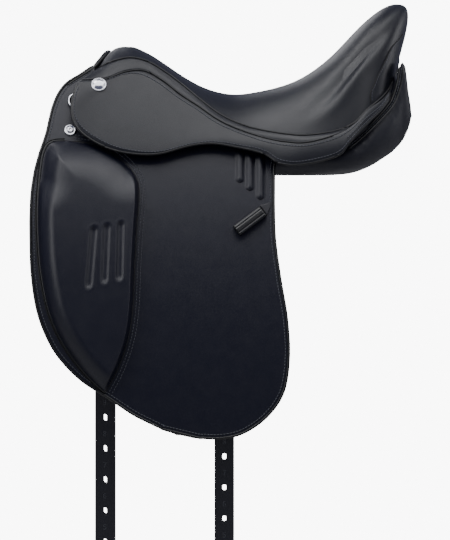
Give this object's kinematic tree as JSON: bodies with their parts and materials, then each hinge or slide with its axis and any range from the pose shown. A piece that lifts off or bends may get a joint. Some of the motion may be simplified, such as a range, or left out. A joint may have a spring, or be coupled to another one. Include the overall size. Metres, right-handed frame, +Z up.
{
  "type": "english saddle",
  "caption": "Dressage saddle with a deep seat, long hinged single flaps with knee blocks, split panels, stirrup bars with catches and hanging girth billets.",
  "frame": {"origin": "middle plane, under the deepest point of the seat, level with the panels' bearing line", "axes": "+X from the pommel to the cantle, +Z up, near (left) side at -Y"},
  "size_m": [0.5225, 0.473, 0.9255],
  "materials": {
    "seat_leather": "smooth black calf leather, satin",
    "flap_leather": "smooth black saddle leather, satin",
    "block_leather": "black leather drawn over a firm foam block",
    "panel_leather": "soft black panel leather",
    "billet_leather": "black strap leather, edges stained",
    "webbing": "undyed linen webbing",
    "filling": "foam and wool flock",
    "beech_laminate": "bare laminated beech",
    "forged_steel": "forged and tumbled steel",
    "polished_steel": "polished stainless steel"
  },
  "bodies": {
    "saddle": {"tree_head": "beech_laminate", "tree_rails": "beech_laminate", "spring_left": "forged_steel", "spring_right": "forged_steel", "head_plate": "forged_steel", "head_rivets": "forged_steel", "seat_canvas": "webbing", "seat_foam": "filling", "seat_cover": "seat_leather", "pommel_roll": "flap_leather", "gullet_lining": "panel_leather", "rear_facing": "panel_leather", "front_facing": "panel_leather", "gusset_left": "panel_leather", "gusset_right": "panel_leather", "welt_left": "seat_leather", "welt_right": "seat_leather", "skirt_left": "seat_leather", "skirt_right": "seat_leather", "flap_head_left": "flap_leather", "flap_head_right": "flap_leather", "panel_left": "panel_leather", "panel_right": "panel_leather", "panel_flock_left": "filling", "panel_flock_right": "filling", "web_front_left": "webbing", "web_front_right": "webbing", "web_rear_left": "webbing", "web_rear_right": "webbing", "stirrup_bar_left": "forged_steel", "stirrup_bar_right": "forged_steel", "catch_pin_left": "forged_steel", "catch_pin_right": "forged_steel", "bar_rivets": "forged_steel", "ring_chape_left": "flap_leather", "ring_chape_right": "flap_leather", "pommel_nail_left": "polished_steel", "pommel_nail_right": "polished_steel", "flap_stud_left": "polished_steel", "flap_stud_right": "polished_steel"},
    "left_flap": {"flap_left": "flap_leather", "knee_block_left": "block_leather", "keeper_left": "flap_leather"},
    "left_lobe": {"skirt_lobe_left": "seat_leather"},
    "left_catch": {"bar_catch_left": "forged_steel"},
    "left_ring": {"front_ring_left": "polished_steel"},
    "left_front_billet": {"billet_front_left": "billet_leather"},
    "left_rear_billet": {"billet_rear_left": "billet_leather"},
    "right_flap": {"flap_right": "flap_leather", "knee_block_right": "block_leather", "keeper_right": "flap_leather"},
    "right_lobe": {"skirt_lobe_right": "seat_leather"},
    "right_catch": {"bar_catch_right": "forged_steel"},
    "right_ring": {"front_ring_right": "polished_steel"},
    "right_front_billet": {"billet_front_right": "billet_leather"},
    "right_rear_billet": {"billet_rear_right": "billet_leather"}
  },
  "joints": [
    {"name": "flap_lift_left", "type": "hinge", "parent": "saddle", "child": "left_flap", "pos_m": [-0.10425, -0.11678, 0.02925], "axis": [-0.9847, 0.0749, 0.1576], "range_deg": [0, 18]},
    {"name": "skirt_lift_left", "type": "hinge", "parent": "saddle", "child": "left_lobe", "pos_m": [-0.12335, -0.1128, 0.0728], "axis": [-0.9493, 0.1368, 0.2829], "range_deg": [0, 60]},
    {"name": "bar_catch_left", "type": "hinge", "parent": "saddle", "child": "left_catch", "pos_m": [-0.099, -0.10129, 0.06656], "axis": [0, -0.887, 0.4618], "range_deg": [0, 70]},
    {"name": "front_ring_left", "type": "hinge", "parent": "saddle", "child": "left_ring", "pos_m": [-0.207, -0.08425, 0.102], "axis": [0, 0.493, 0.87], "range_deg": [0, 12]},
    {"name": "billet_front_left", "type": "hinge", "parent": "saddle", "child": "left_front_billet", "pos_m": [-0.1795, -0.122, -0.02], "axis": [0, 1, 0], "range_deg": [-8, 8]},
    {"name": "billet_rear_left", "type": "hinge", "parent": "saddle", "child": "left_rear_billet", "pos_m": [-0.016, -0.122, -0.02], "axis": [0, 1, 0], "range_deg": [-8, 8]},
    {"name": "flap_lift_right", "type": "hinge", "parent": "saddle", "child": "right_flap", "pos_m": [-0.10425, 0.11678, 0.02925], "axis": [0.9847, 0.0749, -0.1576], "range_deg": [0, 18]},
    {"name": "skirt_lift_right", "type": "hinge", "parent": "saddle", "child": "right_lobe", "pos_m": [-0.12335, 0.1128, 0.0728], "axis": [0.9493, 0.1368, -0.2829], "range_deg": [0, 60]},
    {"name": "bar_catch_right", "type": "hinge", "parent": "saddle", "child": "right_catch", "pos_m": [-0.099, 0.10129, 0.06656], "axis": [0, -0.887, -0.4618], "range_deg": [0, 70]},
    {"name": "front_ring_right", "type": "hinge", "parent": "saddle", "child": "right_ring", "pos_m": [-0.207, 0.08425, 0.102], "axis": [0, 0.493, -0.87], "range_deg": [0, 12]},
    {"name": "billet_front_right", "type": "hinge", "parent": "saddle", "child": "right_front_billet", "pos_m": [-0.1795, 0.122, -0.02], "axis": [0, 1, 0], "range_deg": [-8, 8]},
    {"name": "billet_rear_right", "type": "hinge", "parent": "saddle", "child": "right_rear_billet", "pos_m": [-0.016, 0.122, -0.02], "axis": [0, 1, 0], "range_deg": [-8, 8]}
  ]
}
